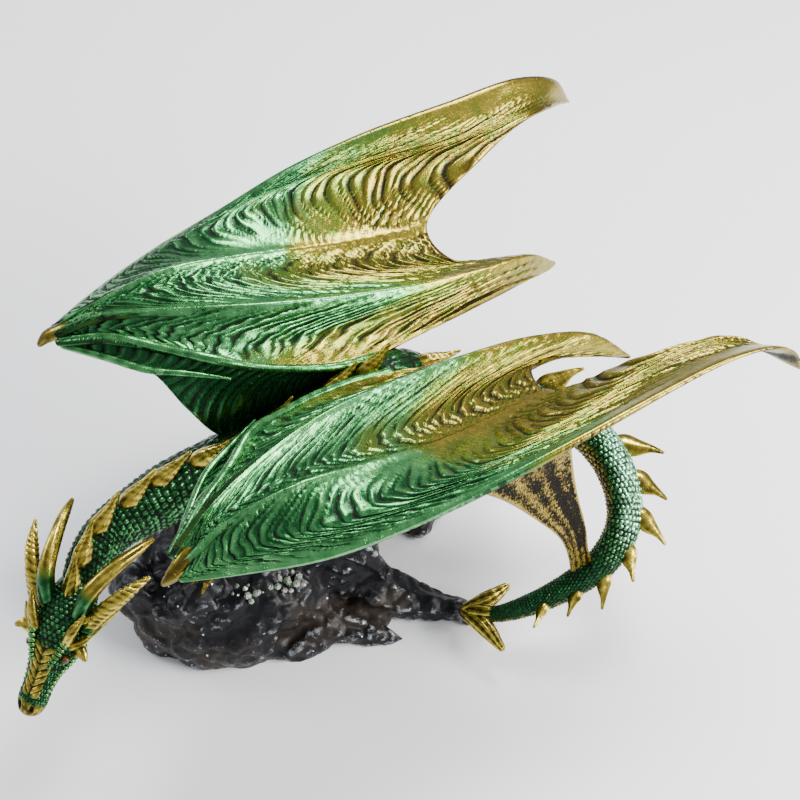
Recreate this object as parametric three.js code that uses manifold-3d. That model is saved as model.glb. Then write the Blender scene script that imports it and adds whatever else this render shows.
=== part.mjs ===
// Winged dragon figurine crouching on a rock base, with a crystal cluster set in the rock.
// Millimetres, +Z up. The origin is on the flat underside of the base, under the dragon's shoulders.
// The dragon looks along -Y, and +X is its left side. The wings are mirror images across x = 0.
import * as THREE from "three";
import { mergeVertices } from "three/addons/utils/BufferGeometryUtils.js";
import Module from "manifold-3d";

const wasm = await Module();
wasm.setup();

// ---- Driving dimensions ----
const WING_THICKNESS = 4.2;
const WING_CELLS_ALONG = 13;
const WING_CELLS_ACROSS = 14;
const PANEL_SAG = 2.6;
const WEB_THICKNESS = 3.2;
const BODY_RINGS = 32;
const BODY_SIDES = 8;
const HEAD_ORIGIN = new THREE.Vector3(30, -159.4, 107.5);
const HEAD_YAW = THREE.MathUtils.degToRad(33);
const HEAD_PITCH = THREE.MathUtils.degToRad(38);
const TAIL_LOOP_CENTRE = new THREE.Vector3(72, 84, 80);
const SEAT_SHIFT = 0.45;
const SLOPE_STEP = 0.02;
const FLOOR_CUT = 200;
const JOIN_TOLERANCE = 0.12;
const SEAT_TOLERANCE = 0.03;

const UP = new THREE.Vector3(0, 0, 1);

// ---- Solids from shaped geometry ----

// A closed mesh as a solid: only the positions are kept, so shared corners can be merged.
function solid(geometry) {
  const bare = geometry.clone();
  bare.deleteAttribute("normal");
  bare.deleteAttribute("uv");
  const merged = mergeVertices(bare, 1e-4);
  const vertProperties = new Float32Array(merged.getAttribute("position").array);
  const triVerts = new Uint32Array(merged.getIndex().array);
  return new wasm.Manifold(new wasm.Mesh({ numProp: 3, vertProperties, triVerts }));
}

// Moves every corner of a geometry to place(corner).
function bend(geometry, place) {
  const positions = geometry.getAttribute("position");
  const corner = new THREE.Vector3();
  for (let i = 0; i < positions.count; i += 1) {
    const moved = place(corner.fromBufferAttribute(positions, i).clone());
    positions.setXYZ(i, moved.x, moved.y, moved.z);
  }
  return geometry;
}

// The same shape on the dragon's right side: x changes sign and the faces are turned round.
function mirrored(geometry) {
  const copy = bend(geometry.clone(), (corner) => corner.setX(-corner.x));
  const index = copy.getIndex().array;
  for (let i = 0; i < index.length; i += 3) {
    [index[i], index[i + 1]] = [index[i + 1], index[i]];
  }
  return copy;
}

const joined = (solids) => solids.reduce((whole, next) => whole.add(next));

// The outer shell alone: slivers are merged away, and pockets sealed in where shapes cross are filled.
function outerShell(shape, tolerance) {
  const shells = shape.simplify(tolerance).decompose();
  return shells.reduce((outer, shell) => (shell.volume() > outer.volume() ? shell : outer));
}

const bothSides = (geometry) => [geometry, mirrored(geometry)];

const curveThrough = (points) => new THREE.CatmullRomCurve3(points.map((p) => new THREE.Vector3(...p)));

// A rounded limb through stations of [x, y, z, half width, half height]: a unit cylinder whose
// rings are moved onto the curve. "up" is the direction that the half heights are measured in.
function limb(stations, rings, sides, up = UP) {
  const path = curveThrough(stations.map(([x, y, z]) => [x, y, z]));
  const girth = curveThrough(stations.map(([, , , width, height]) => [width, height, 0]));
  const frames = Array.from({ length: rings + 1 }, (_, i) => {
    const along = path.getTangent(i / rings);
    const side = new THREE.Vector3().crossVectors(up, along).normalize();
    const top = new THREE.Vector3().crossVectors(along, side).normalize();
    return { centre: path.getPoint(i / rings), size: girth.getPoint(i / rings), side, top };
  });
  return bend(new THREE.CylinderGeometry(1, 1, 1, sides, rings), (corner) => {
    const { centre, size, side, top } = frames[Math.round((0.5 - corner.y) * rings)];
    return centre.clone().addScaledVector(side, corner.x * size.x).addScaledVector(top, corner.z * size.y);
  });
}

// A thin sheet on a surface(u, v), thickened by thickness(u, v) behind the side that u x v faces.
function sheet(surface, thickness, cellsU, cellsV) {
  return bend(new THREE.BoxGeometry(1, 1, 1, cellsU, cellsV, 1), (corner) => {
    const u = corner.x + 0.5;
    const v = corner.y + 0.5;
    const ahead = surface(Math.min(u + SLOPE_STEP, 1), v).sub(surface(Math.max(u - SLOPE_STEP, 0), v));
    const across = surface(u, Math.min(v + SLOPE_STEP, 1)).sub(surface(u, Math.max(v - SLOPE_STEP, 0)));
    const out = ahead.cross(across).normalize();
    return surface(u, v).addScaledVector(out, (corner.z - 0.5) * thickness(u, v));
  });
}

// ---- Body, neck and tail: one line from the back of the skull to the tail's end ----

const SPINE = [
  [25, -153, 98, 9, 9],
  [16, -142, 106, 11.5, 11.5],
  [6.5, -127, 110, 12.8, 12.8],
  [2.5, -107, 113, 14.5, 14.5],
  [0, -86, 113, 17.5, 17],
  [0, -62, 108, 22, 24],
  [0, -36, 103, 24, 30],
  [0, -6, 111, 22, 31],
  [0, 22, 117, 22, 30],
  [0, 40, 122, 20, 26],
  [2, 60, 113, 15.5, 18],
  [9, 88, 102, 13, 14],
  [30, 118, 95, 12, 12],
  [60, 134, 89, 11.5, 11.5],
  [86, 134, 82, 10.8, 10.8],
  [104, 126, 71, 10, 10],
  [112, 110, 57, 9.2, 9.2],
  [110, 92, 43, 8, 8],
  [105, 70, 32, 6.6, 6.6],
  [98, 53, 25, 5, 5],
];

const spineCurve = curveThrough(SPINE.map(([x, y, z]) => [x, y, z]));
const spineGirth = curveThrough(SPINE.map(([, , , width, height]) => [width, height, 0]));
const SPINE_STEPS = SPINE.length - 1;
const HIP_STATION = 9;

// The direction of the crest at a station: up along the back, turning outwards round the tail's loop.
function crestDirection(station) {
  const outward = spineCurve.getPoint(station / SPINE_STEPS).sub(TAIL_LOOP_CENTRE).setZ(0).normalize();
  const turn = THREE.MathUtils.smoothstep(station, HIP_STATION + 1, HIP_STATION + 5);
  const lean = THREE.MathUtils.lerp(0, 1.2, turn);
  return UP.clone().multiplyScalar(1 - 0.72 * turn).addScaledVector(outward, lean).normalize();
}

// A leaf-shaped plate or a spine standing on the crest, swept back along the body.
function crestPlate(station, { length, height, width, sunk, sweep }) {
  const root = spineCurve.getPoint(station / SPINE_STEPS);
  const along = spineCurve.getTangent(station / SPINE_STEPS);
  const out = crestDirection(station);
  out.addScaledVector(along, -out.dot(along)).normalize();
  const side = new THREE.Vector3().crossVectors(out, along).normalize();
  const skin = spineGirth.getPoint(station / SPINE_STEPS).y - sunk;
  const at = (back, lift) => root.clone()
    .addScaledVector(along, back)
    .addScaledVector(out, skin + lift)
    .toArray();
  return limb([
    [...at(-0.35 * length, 0), width, length * 0.28],
    [...at(0.1 * length, 0.6 * height), width * 0.8, length * 0.22],
    [...at(sweep * length, height + sunk), 0.5, 0.5],
  ], 2, 4, side.cross(out).negate());
}

const NECK_PLATES = [0.4, 1.2, 2.1, 3, 3.8, 4.6, 5.5, 6.6, 7.7, 8.7, 9.6];
const NECK_PLATE = { length: 19, height: 8.5, width: 5, sunk: 3, sweep: 0.8 };
const TAIL_SPINES = Array.from({ length: 11 }, (_, i) => 10.6 + 0.72 * i);
const TAIL_SPINE = { length: 15, height: 14, width: 3.4, sunk: 2, sweep: 0.75 };

function crest() {
  const neck = NECK_PLATES.map((station) => crestPlate(station, NECK_PLATE));
  const tail = TAIL_SPINES.map((station, i) => {
    const size = 1 - 0.07 * Math.max(0, i - 4);
    return crestPlate(station, {
      ...TAIL_SPINE,
      length: TAIL_SPINE.length * size,
      height: TAIL_SPINE.height * size * (i % 2 === 0 ? 1.15 : 0.9),
    });
  });
  return [...neck, ...tail];
}

// The tail's end: a spade of two barbs swept back from one blunt point.
function tailSpade() {
  const point = [84, 39, 19];
  const blade = (middle, tip) => limb([
    [...point, 3.2, 2.2],
    [...middle, 5.4, 4.2],
    [...tip, 2, 2],
  ], 4, 6);
  return [
    blade([87, 52, 23], [86, 68, 27]),
    blade([98, 44, 21], [117, 47, 19]),
    limb([[98, 53, 25, 4.8, 4.8], [91, 46, 22.5, 5.2, 4.2], [86, 41, 20, 4, 3]], 3, 6),
  ];
}

// ---- Legs ----

const FRONT_LEG = [
  [15, -54, 108, 11, 14],
  [27, -46, 92, 9, 12],
  [31, -50, 80, 7, 8],
  [27, -62, 70, 6, 6.5],
  [24, -72, 65, 7, 4.6],
  [23, -78, 63, 5, 3],
];
const HIND_LEG = [
  [15, 35, 122, 12, 17],
  [27, 27, 110, 12, 16],
  [35, 16, 93, 9, 11],
  [33, 22, 78, 6.5, 7.5],
  [29, 24, 68, 5.6, 6],
  [26, 14, 62, 7, 4.4],
  [25, 7, 60.5, 5, 3],
];
const TOE_ANGLES = [-32, 0, 32];
const TOE_LENGTH = 13;

// Three clawed toes fanning forward from the end of a foot and hooking down onto the rock.
function toes([x, y, z]) {
  return TOE_ANGLES.map((degrees) => {
    const turn = THREE.MathUtils.degToRad(degrees);
    const at = (reach, height) => [
      x + Math.sin(turn) * reach * TOE_LENGTH,
      y - Math.cos(turn) * reach * TOE_LENGTH,
      z + height,
    ];
    return limb([
      [...at(-0.2, 0.6), 2.8, 2.6],
      [...at(0.5, 1.2), 2.6, 2.6],
      [...at(1.15, -4), 0.5, 0.5],
    ], 3, 4);
  });
}

function legs() {
  const left = [FRONT_LEG, HIND_LEG].flatMap((stations) => [
    limb(stations, 6, 7, new THREE.Vector3(0, -1, 0.2)),
    ...toes(stations.at(-1)),
  ]);
  return left.flatMap(bothSides);
}

// ---- Head: built along its own axes, x to the snout, y to the dragon's left, z up ----

const headAxes = (() => {
  const ahead = new THREE.Vector3(Math.sin(HEAD_YAW), -Math.cos(HEAD_YAW), 0);
  const left = new THREE.Vector3(Math.cos(HEAD_YAW), Math.sin(HEAD_YAW), 0);
  ahead.multiplyScalar(Math.cos(HEAD_PITCH)).addScaledVector(UP, -Math.sin(HEAD_PITCH));
  const top = new THREE.Vector3().crossVectors(ahead, left);
  return new THREE.Matrix4().makeBasis(ahead, left, top).setPosition(HEAD_ORIGIN);
})();

const SKULL = [
  [-12, 0, -12, 9, 8],
  [-2, 0, -10.5, 12.5, 10],
  [10, 0, -9, 15, 11],
  [22, 0, -9, 14.5, 10.5],
  [34, 0, -9.5, 10.5, 8.5],
  [46, 0, -10, 8.2, 7],
  [56, 0, -10, 8.4, 6.6],
  [62, 0, -10.5, 6.5, 5.4],
  [65, 0, -11.5, 3, 3],
];
const JAW = [
  [2, 0, -19, 10, 4.5],
  [18, 0, -20, 10.5, 4.5],
  [34, 0, -18.5, 7.2, 3.6],
  [48, 0, -17, 5.6, 3],
  [58, 0, -16, 3.2, 2.2],
];
const LONG_HORN = [
  [8, 9, -4, 5, 5], [-8, 13, 3, 4.6, 4.6], [-24, 18, -2, 3.8, 3.8], [-36, 22.5, -11, 2.8, 2.8],
  [-43, 25, -18, 1.2, 1.2],
];
const FRILL_HORN = [
  [14, 13, -8, 4.6, 4.4], [0, 20, -2, 4.4, 3.6], [-14, 28, -2.5, 4, 3], [-27, 35, -8, 1, 1],
];
const CHEEK_HORN = [[24, 11, -9, 4.5, 3.4], [22, 17, -5, 3.6, 2.8], [25, 22, -4, 1, 1]];
const JAW_HORN = [[12, 12, -16, 3.8, 3], [4, 18, -15, 3, 2.4], [-6, 24, -15, 0.8, 0.8]];
const BROW_HORN = [[22, 9, -2, 3.2, 2.8], [12, 12.5, 3, 2.8, 2.4], [2, 16, 4.5, 0.7, 0.7]];
const CHEEK_SPIKES = [[14, 16, -7], [8, 17, -10], [1, 15.5, -13]];

function head() {
  const spikes = CHEEK_SPIKES.map(([x, y, z]) => limb([
    [x + 4, y - 5, z, 2.6, 2.2],
    [x - 2, y + 2, z + 1, 2, 1.7],
    [x - 8, y + 6, z + 1, 0.5, 0.5],
  ], 2, 4));
  const pairs = [
    limb(LONG_HORN, 5, 5),
    limb(FRILL_HORN, 4, 5),
    limb(CHEEK_HORN, 3, 5),
    limb(JAW_HORN, 3, 5),
    limb(BROW_HORN, 3, 5),
    ...spikes,
  ];
  const acrossHead = (shape) => {
    const copy = bend(shape.clone(), (corner) => corner.setY(-corner.y));
    const index = copy.getIndex().array;
    for (let i = 0; i < index.length; i += 3) {
      [index[i], index[i + 1]] = [index[i + 1], index[i]];
    }
    return copy;
  };
  const shapes = [limb(SKULL, 10, 8), limb(JAW, 4, 6), ...pairs, ...pairs.map(acrossHead)];
  return shapes.map((shape) => shape.applyMatrix4(headAxes));
}

// ---- Wings: fingers fanning out from the wrist, with the membrane between them ----

// Each finger runs from the wrist to the membrane's outer edge. The order is from the leading edge to
// the body. "bone" is how far the finger stands up as a ridge.
const FINGERS = [
  {
    bone: 0,
    line: [
      [86, -115, 167], [97, -88, 169], [109, -50, 171], [115, -6, 177], [117, 36, 187],
      [116, 80, 193], [113, 130, 196], [112, 178, 196], [112, 205, 184], [113, 219, 160],
    ],
  },
  {
    bone: 0,
    line: [
      [85, -115, 168], [93, -88, 173], [103, -48, 177], [108, -3, 181], [109, 42, 187],
      [106, 88, 188], [97, 135, 187], [93, 162, 188], [93, 182, 186],
    ],
  },
  {
    bone: 0,
    line: [
      [84, -115, 169], [90, -88, 176], [97, -48, 182], [100, 0, 184], [100, 44, 184],
      [93, 90, 181], [79, 138, 180],
    ],
  },
  {
    bone: 1.6,
    line: [
      [81, -114, 171], [77, -90, 183], [76, -50, 189], [75, -10, 180], [73, 26, 170],
      [69, 60, 164], [64, 96, 161],
    ],
  },
  {
    bone: 0,
    line: [
      [79, -113, 172], [73, -90, 184], [66, -50, 186], [60, -10, 177], [55, 30, 167],
      [49, 66, 160], [42, 100, 154],
    ],
  },
  {
    bone: 1.8,
    line: [
      [77, -113, 173], [67, -90, 185], [50, -50, 185], [38, -12, 180], [31, 30, 171],
      [27, 70, 163], [27, 110, 155], [32, 143, 144], [39, 167, 119],
    ],
  },
  {
    bone: 0,
    line: [
      [76, -113, 172], [60, -88, 181], [38, -48, 177], [27, -12, 170], [21, 26, 160],
      [17, 64, 149], [21, 112, 135],
    ],
  },
  {
    bone: 1.2,
    line: [
      [75, -113, 171], [58, -90, 178], [41, -68, 174.5], [26, -50, 171.5], [17.5, -30, 164.5],
      [10.5, -8, 158], [6.5, 14, 152], [6, 36, 147],
    ],
  },
];

const fingerCurves = FINGERS.map(({ line }) => curveThrough(line));

// A point of the wing's upper face: "along" runs from the wrist to the outer edge, "across" from the
// leading edge to the body. Between two fingers the membrane hangs in a shallow hollow.
function wingSurface(along, across) {
  const row = new THREE.CatmullRomCurve3(fingerCurves.map((curve) => curve.getPoint(along)));
  const point = row.getPoint(across);
  const place = across * (FINGERS.length - 1);
  const left = Math.min(Math.floor(place), FINGERS.length - 2);
  const nearness = Math.abs(2 * (place - left) - 1);
  const bone = place - left < 0.5 ? FINGERS[left].bone : FINGERS[left + 1].bone;
  const hollow = PANEL_SAG * 0.3 * (1 - nearness ** 2) * Math.sin(Math.PI * along);
  const ridge = bone * Math.max(0, 2 * nearness - 1) * (1 - along * 0.5);
  return point.setZ(point.z - hollow + ridge);
}

function wing() {
  const thickness = (along, across) => {
    const fromWrist = 0.55 + 0.45 * Math.sin(Math.PI * Math.min(1, along + 0.25));
    return WING_THICKNESS * fromWrist * (1 + 0.35 * Math.cos(Math.PI * across) ** 2);
  };
  return sheet(wingSurface, thickness, WING_CELLS_ALONG, WING_CELLS_ACROSS);
}

// The gold claw at the wrist, where all the fingers meet.
const WRIST_CLAW = [
  [72, -100, 173, 3, 3],
  [79, -109, 171, 5.6, 4.2],
  [82, -115, 168, 4.2, 3.6],
  [83, -119, 164.5, 1.4, 1.4],
];
const WING_ARM = [
  [14, -38, 126, 11, 11],
  [32, -28, 142, 9.5, 9.5],
  [52, -34, 160, 8, 8],
  [66, -66, 170, 6.5, 6.5],
  [78, -106, 169, 5, 4.5],
];

// The bones of the two innermost fingers stand clear of the membrane: one lies along its inner edge,
// and the other is free and ends in a point.
const INNER_BONES = [
  [
    [74, -112, 170.5, 2.6, 2.6], [58, -90, 177.5, 2.4, 2.4], [41, -68, 174.2, 2.6, 2.6],
    [26, -50, 171.8, 3, 3], [16.8, -30, 163.6, 2.4, 2.4], [9.6, -8, 157, 2.4, 2.4],
    [6, 14, 150.6, 2.6, 2.6], [6.2, 38, 145.4, 3, 3],
  ],
  [
    [73, -112, 168, 2.4, 2.4], [54, -96, 169.4, 2.2, 2.2], [36, -79, 168.4, 2.1, 2.1],
    [27, -64, 167, 2, 2], [14.5, -43.5, 164, 0.7, 0.7],
  ],
];

// The inner panel: it closes the strip between those two bones, then comes down to the crest of the
// back, with a free front edge in a deep curve.
const PANEL_TOP = [
  [75, -111, 169.4], [58, -89.5, 176.2], [41, -67.5, 173], [26, -49, 170],
  [17, -30, 162.6], [10, -8, 155.6], [6.6, 14, 149.4], [6.8, 34, 144],
];
const PANEL_MIDDLE = [
  [73.4, -112, 168.6], [54.4, -95.5, 169.2], [37, -78.5, 168], [25, -62, 164],
  [15, -41, 158], [11, -18, 151], [9, 8, 146], [8.4, 30, 142],
];
const PANEL_FOOT = [
  [73, -112.4, 168], [54, -96, 168.8], [36, -79, 167.6], [19, -67, 146],
  [11, -52, 124], [10, -24, 128], [9.5, 4, 135], [9, 28, 138],
];

function innerPanel() {
  const [top, middle, foot] = [PANEL_TOP, PANEL_MIDDLE, PANEL_FOOT].map(curveThrough);
  const surface = (u, v) => new THREE.QuadraticBezierCurve3(
    top.getPoint(u),
    middle.getPoint(u),
    foot.getPoint(u),
  ).getPoint(v);
  return sheet(surface, () => WEB_THICKNESS, 9, 4);
}

// The third lobe: a web that drops from under the leading edge to a foot on the tail.
const LOBE_FRONT = [
  [115, 24, 182], [114, 42, 160], [114, 60, 133], [114, 78, 102],
  [113, 86, 77], [112, 90, 58],
];
const LOBE_REAR = [
  [115, 76, 190], [113, 80, 168], [113, 86, 136], [113, 94, 102],
  [113, 98, 78], [112, 103, 60],
];

function thirdLobe() {
  const front = curveThrough(LOBE_FRONT);
  const rear = curveThrough(LOBE_REAR);
  const surface = (u, v) => front.getPoint(u).lerp(rear.getPoint(u), v);
  return sheet(surface, () => WEB_THICKNESS, 5, 2);
}

function wings() {
  return [
    wing(),
    limb(WRIST_CLAW, 4, 6),
    limb(WING_ARM, 5, 7),
    ...INNER_BONES.map((stations) => limb(stations, 8, 5)),
    innerPanel(),
    thirdLobe(),
  ].flatMap(bothSides);
}

function dragon() {
  return joined([
    limb(SPINE, BODY_RINGS, BODY_SIDES),
    ...crest(),
    ...tailSpade(),
    ...legs(),
    ...head(),
    ...wings(),
  ].map(solid));
}

// ---- Rock base ----

// Boulders as [x, y, z, half length in x, in y, in z, turn about Z in degrees].
const BOULDERS = [
  [12, -58, 12, 42, 62, 46, 0],
  [-17, 0, 10, 39, 36, 44, 0],
  [-20, -52, 12, 36, 60, 44, 0],
  [-14, 46, 8, 30, 38, 30, 0],
  [-30, 22, 8, 30, 50, 26, 12],
  [12, 50, 6, 10, 9, 13, 0],
  [7, -102, 12, 25, 22, 34, -20],
  [-3, -118, 34, 15, 12, 22, 20],
  [21, -99, 30, 13, 14, 22, 0],
  [36, -72, 6, 18, 29, 19, -20],
  [50, -42, 5, 14, 20, 14, -10],
  [30, -8, 30, 18, 22, 30, -30],
  [0, -34, 38, 38, 60, 24, 0],
];
const LUMPS = [
  { size: 2.6, wave: 0.11, shift: 0.4 },
  { size: 1.5, wave: 0.23, shift: 1.9 },
];

const LARGE_BOULDER = 94;

function boulder([x, y, z, halfX, halfY, halfZ, degrees]) {
  const turn = THREE.MathUtils.degToRad(degrees);
  const centre = new THREE.Vector3(x, y, z);
  const detail = halfX + halfY > LARGE_BOULDER ? 2 : 1;
  return bend(new THREE.IcosahedronGeometry(1, detail), (corner) => {
    const outward = corner.clone();
    corner.multiply(new THREE.Vector3(halfX, halfY, halfZ)).applyAxisAngle(UP, turn).add(centre);
    const swell = LUMPS.reduce((sum, { size, wave, shift }) => sum
      + size * Math.sin(wave * corner.x * 1.3 + shift) * Math.sin(wave * corner.y + 2 * shift)
      * Math.sin(wave * corner.z * 1.7 + 3 * shift), 0);
    return corner.addScaledVector(outward, swell);
  });
}

// Slate-like shards, as limbs with few sides: the long finger under the tail, and a flat prong.
const ROCK_FINGER = [[36, -6, 16, 18, 18], [56, 18, 8, 14, 11], [72, 38, 6, 9, 9], [86, 51, 5, 5, 7]];
const ROCK_PRONG = [[46, -36, 10, 16, 13], [63, -10, 5, 9, 8], [77, 8, 1.5, 1.4, 1.6]];
const ROCK_RIDGE = [[20, -34, 48, 12, 14], [38, -8, 46, 8, 14], [47, 10, 20, 7, 10]];

function rock() {
  const shards = [limb(ROCK_FINGER, 7, 6), limb(ROCK_PRONG, 5, 5), limb(ROCK_RIDGE, 6, 5)];
  const wide = 2 * FLOOR_CUT;
  const above = new THREE.BoxGeometry(wide, wide, FLOOR_CUT).translate(0, 0, FLOOR_CUT / 2);
  return joined([...BOULDERS.map(boulder), ...shards].map(solid)).intersect(solid(above));
}

// ---- Crystal cluster: blunt six-sided crystals leaning out of one bed in the rock ----

const CRYSTAL_BED = [30, -56, 46];
const CRYSTALS = [
  [-5, -14, 11, 15, -0.3, -0.4],
  [-4, -6, 13, 17, 0.1, -0.1],
  [3, 0, 13, 16, 0.5, 0],
  [6, 8, 12, 15, 0.7, 0.3],
  [-3, 7, 11, 14, 0.1, 0.5],
  [5, -9, 11, 13, 0.7, -0.4],
  [9, 16, 10, 12, 0.7, 0.5],
];

function crystalCluster() {
  const [x, y, z] = CRYSTAL_BED;
  return joined(CRYSTALS.map(([dx, dy, width, height, leanX, leanY]) => {
    const lean = new THREE.Vector3(leanX, leanY, 1.6).normalize();
    const tilt = new THREE.Quaternion().setFromUnitVectors(UP, lean);
    const shape = new THREE.CylinderGeometry(width * 0.3, width * 0.55, height, 6, 1).rotateX(Math.PI / 2);
    return solid(shape.applyQuaternion(tilt).translate(x + dx, y + dy, z));
  }));
}

// ---- The object ----

// Cuts a seat for a piece that is set into another. The piece is cut out where it stands and at four
// places round that, towards the corners of a tetrahedron, which leaves a gap on every side.
function seated(holder, piece) {
  const corners = [[0, 0, 0], [1, 1, 1], [1, -1, -1], [-1, 1, -1], [-1, -1, 1]];
  const shifted = corners.map((corner) => piece.translate(corner.map((step) => step * SEAT_SHIFT)));
  return shifted.reduce((left, copy) => left.subtract(copy), holder);
}

function namedMesh(name, shape, look) {
  const { vertProperties, triVerts } = shape.getMesh();
  const geometry = new THREE.BufferGeometry();
  geometry.setAttribute("position", new THREE.BufferAttribute(new Float32Array(vertProperties), 3));
  geometry.setIndex(new THREE.BufferAttribute(new Uint32Array(triVerts), 1));
  geometry.computeVertexNormals();
  const mesh = new THREE.Mesh(geometry, new THREE.MeshStandardMaterial(look));
  mesh.name = name;
  return mesh;
}

const figure = outerShell(dragon(), JOIN_TOLERANCE);
const crystals = outerShell(crystalCluster(), JOIN_TOLERANCE);
const base = outerShell(seated(seated(rock(), figure), crystals), SEAT_TOLERANCE);

const statue = new THREE.Group();
statue.add(namedMesh("dragon", figure, { color: 0x2f6b45, roughness: 0.35, metalness: 0.7 }));
statue.add(namedMesh("rock_base", base, { color: 0x202124, roughness: 0.5, metalness: 0.2 }));
statue.add(namedMesh("crystal_cluster", crystals, { color: 0x9fb8a4, roughness: 0.15, metalness: 0 }));

export default statue;
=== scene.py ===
import math

import bmesh
import bpy
import numpy as np
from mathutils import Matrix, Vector, noise


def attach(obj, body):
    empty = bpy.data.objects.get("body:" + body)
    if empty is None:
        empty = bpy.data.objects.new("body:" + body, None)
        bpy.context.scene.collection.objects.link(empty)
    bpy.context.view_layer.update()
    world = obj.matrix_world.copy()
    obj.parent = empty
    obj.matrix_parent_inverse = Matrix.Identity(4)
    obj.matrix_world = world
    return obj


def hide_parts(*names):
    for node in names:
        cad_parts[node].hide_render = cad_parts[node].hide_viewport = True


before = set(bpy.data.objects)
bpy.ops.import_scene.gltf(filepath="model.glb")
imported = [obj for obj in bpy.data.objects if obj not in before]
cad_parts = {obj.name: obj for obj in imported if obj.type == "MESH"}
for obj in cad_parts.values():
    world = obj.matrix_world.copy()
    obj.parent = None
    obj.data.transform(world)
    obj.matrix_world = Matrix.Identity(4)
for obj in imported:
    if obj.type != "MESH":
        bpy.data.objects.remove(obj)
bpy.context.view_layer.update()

# ---- Rock base ----
# A lumpy rock with a long slate finger under the tail, cast in resin on a flat underside.
# It is painted semi-gloss black, dry-brushed with silver on its edges, with a little glitter.

MM = 0.001
BOULDERS = [
    (12, -58, 12, 42, 62, 46, 0),
    (-17, 0, 10, 39, 36, 44, 0),
    (-20, -52, 12, 36, 60, 44, 0),
    (-14, 46, 8, 30, 38, 30, 0),
    (-30, 22, 8, 30, 50, 26, 12),
    (12, 50, 6, 10, 9, 13, 0),
    (7, -102, 12, 25, 22, 34, -20),
    (-3, -118, 34, 15, 12, 22, 20),
    (21, -99, 30, 13, 14, 22, 0),
    (36, -72, 6, 18, 29, 19, -20),
    (50, -42, 5, 14, 20, 14, -10),
    (30, -8, 30, 18, 22, 30, -30),
    (0, -34, 38, 38, 60, 24, 0),
    (52, -6, 3, 15, 17, 10, -30),
]
KNOBS = [(27, -94, 47, 11), (22, -84, 52, 9), (45, -74, 16, 9), (18, -110, 38, 8), (38, -92, 14, 9)]
SLATES = [
    [(36, -6, 16, 18, 18), (56, 18, 8, 14, 11), (72, 38, 6, 9, 9), (86, 51, 5, 5, 7)],
    [(46, -36, 10, 16, 13), (63, -10, 5, 9, 8), (77, 8, 1.5, 1.4, 1.6)],
    [(20, -34, 48, 12, 14), (38, -8, 46, 8, 14), (47, 10, 20, 7, 10)],
]
ROCK_GRAIN = 1.2 * MM
EDGE_STAND = 1.1 * MM
EDGE_REACH = 4


def through(points, t):
    """The points at t, from 0 to 1, on a smooth curve through the given points."""
    points = np.asarray(points, float)
    last = len(points) - 1
    spread = np.vstack([2 * points[0] - points[1], points, 2 * points[-1] - points[-2]])
    place = np.clip(np.asarray(t, float), 0, 1) * last
    first = np.minimum(place.astype(int), last - 1)
    w = (place - first)[:, None]
    p0, p1, p2, p3 = (spread[first + k] for k in range(4))

    def gap(a, b):
        return np.maximum(np.sum((b - a) ** 2, axis=1) ** 0.25, 1e-4)[:, None]

    d0, d1, d2 = gap(p0, p1), gap(p1, p2), gap(p2, p3)
    m1 = ((p1 - p0) / d0 - (p2 - p0) / (d0 + d1) + (p2 - p1) / d1) * d1
    m2 = ((p2 - p1) / d1 - (p3 - p1) / (d1 + d2) + (p3 - p2) / d2) * d1
    return p1 + m1 * w + (3 * (p2 - p1) - 2 * m1 - m2) * w**2 + (2 * (p1 - p2) + m1 + m2) * w**3


def unit(vectors):
    return vectors / np.maximum(np.linalg.norm(vectors, axis=-1, keepdims=True), 1e-9)


def plain_skin(run, around, girth):
    """No relief: the height to add, then the relief, gold and shade that the paint reads."""
    flat = np.zeros(np.broadcast_shapes(run.shape, around.shape))
    return flat, flat + 0.7, flat, flat


def tube(stations, rows, sides, skin=plain_skin, up=(0, 0, 1), flatten=1.0):
    """A rounded limb through stations of x, y, z, half width and half height, closed at both ends."""
    stations = np.asarray(stations, float)
    fine = np.linspace(0, 1, 800)
    line = through(stations[:, :3], fine)
    length = np.concatenate([[0], np.cumsum(np.linalg.norm(np.diff(line, axis=0), axis=1))])
    slope = unit(np.gradient(line, axis=0))
    girths = np.pad(stations[:, 3:], ((0, 0), (0, 1)))
    caps = np.minimum(stations[[0, -1], 3:].mean(axis=1), length[-1] / 3)
    turn = np.linspace(0, math.pi / 2, 7)
    start = caps[0] * (1 - np.cos(turn))
    end = length[-1] - caps[1] * (1 - np.cos(turn[::-1]))
    run = np.concatenate([start, np.linspace(start[-1], end[0], rows + 2)[1:-1], end])
    close = np.concatenate([np.sin(turn), np.ones(rows), np.sin(turn[::-1])])
    t = np.interp(run, length, fine)
    centre = through(stations[:, :3], t)
    size = through(girths, t)[:, :2] * close[:, None]
    along = unit(np.stack([np.interp(t, fine, slope[:, k]) for k in range(3)], axis=1))
    side = unit(np.cross(np.broadcast_to(up, along.shape), along))
    top = unit(np.cross(along, side))
    around = np.linspace(0, 1, sides + 1)[None, :]
    sine, cosine = np.sin(2 * math.pi * around)[..., None], np.cos(2 * math.pi * around)[..., None]
    sine_cut = np.sign(sine) * np.abs(sine) ** flatten
    girth = through(girths, t)[:, :2].mean(axis=1)[:, None]
    height, relief, gold, shade = skin(run[:, None], around, girth)
    outward = unit(side[:, None] * sine + top[:, None] * cosine)
    across = side[:, None] * sine_cut * size[:, None, :1]
    upward = top[:, None] * cosine * size[:, None, 1:]
    points = centre[:, None] + across + upward + outward * (height * close[:, None])[..., None]
    return {"points": points, "relief": relief, "gold": gold, "shade": shade}


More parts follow.
